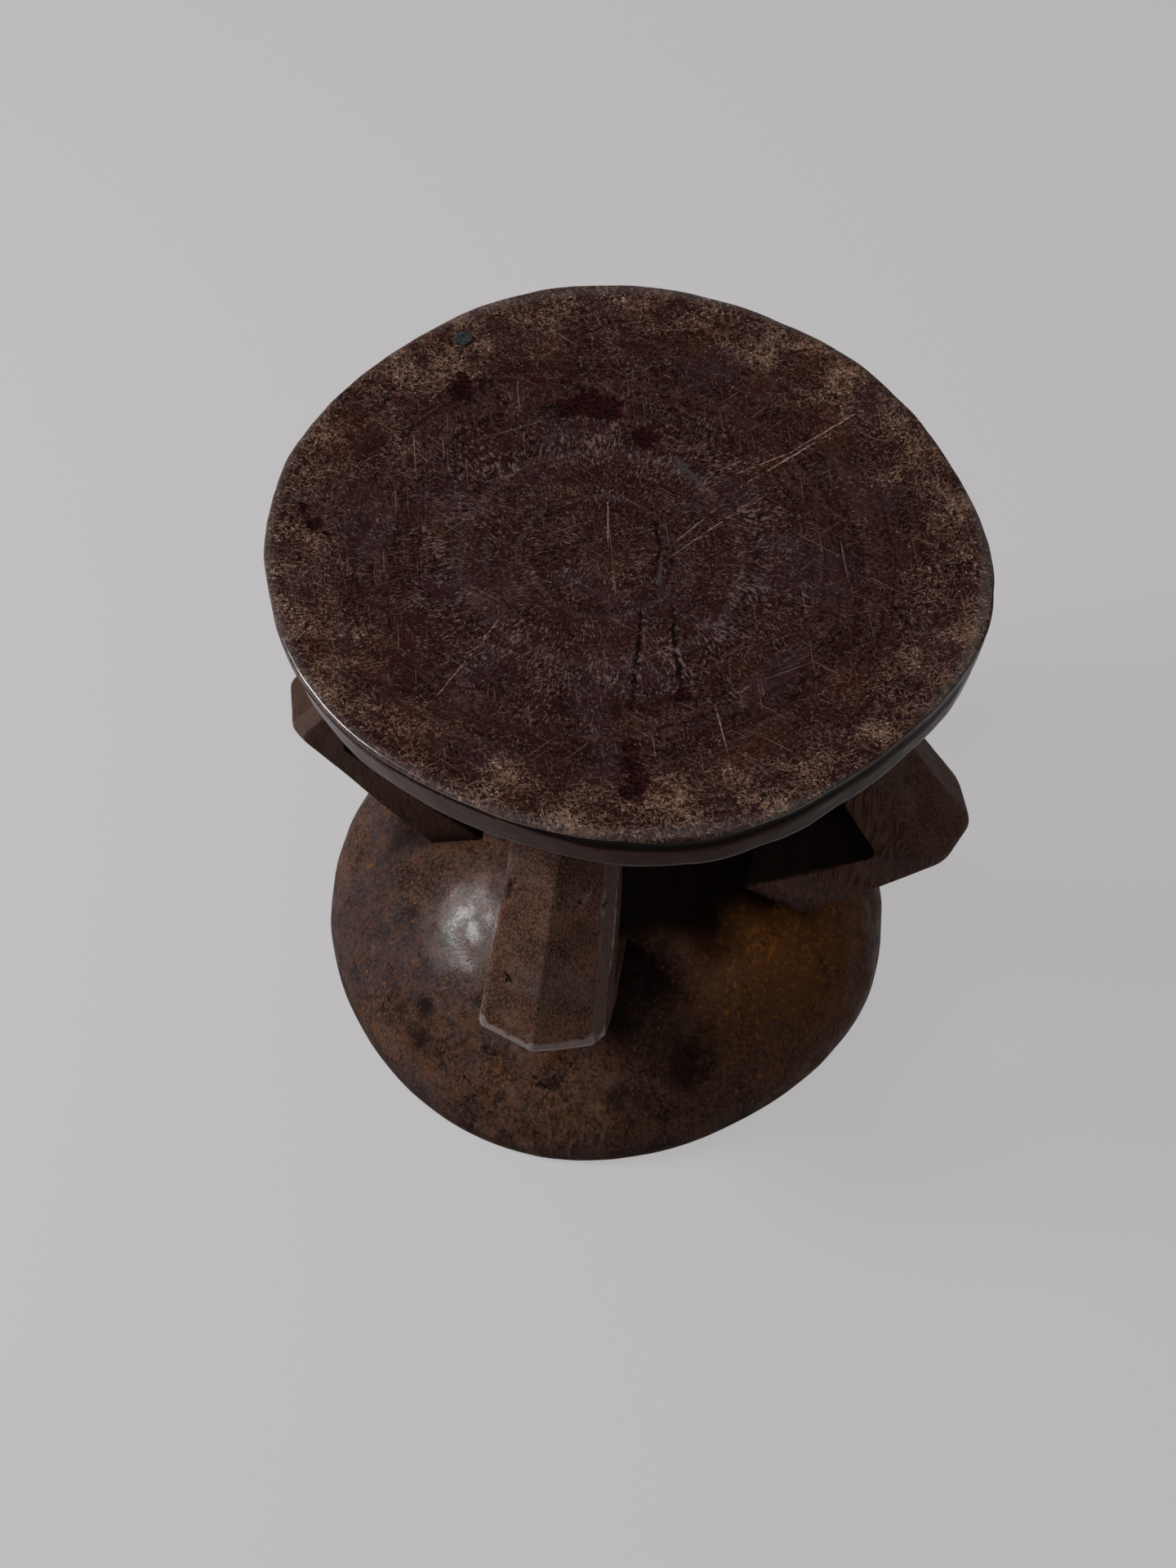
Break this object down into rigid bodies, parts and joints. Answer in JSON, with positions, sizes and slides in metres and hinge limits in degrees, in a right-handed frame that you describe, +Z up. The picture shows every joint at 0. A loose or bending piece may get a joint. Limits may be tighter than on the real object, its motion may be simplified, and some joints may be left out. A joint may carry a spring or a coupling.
{
  "type": "carved wooden stool",
  "caption": "Low round stool carved from dark hardwood: a dished seat on bent, keeled legs that stand on a domed, hollowed base.",
  "frame": {"origin": "on the floor under the middle of the box round the four knees", "axes": "+Z up, -Y towards the front leg, +X towards the right leg"},
  "size_m": [0.3246, 0.3216, 0.287],
  "materials": {
    "seat_wood": "worn dark red-brown hardwood with scratches and a lighter rim",
    "leg_wood": "dark brown hardwood, cut facets, waxed by handling",
    "base_wood": "dark brown hardwood with warmer patches, polished",
    "plug_metal": "dull dark grey"
  },
  "bodies": {
    "root": {"seat": "seat_wood", "leg_front": "leg_wood", "leg_right": "leg_wood", "leg_back": "leg_wood", "leg_left": "leg_wood", "base": "base_wood", "rim_plug": "plug_metal"}
  },
  "joints": []
}
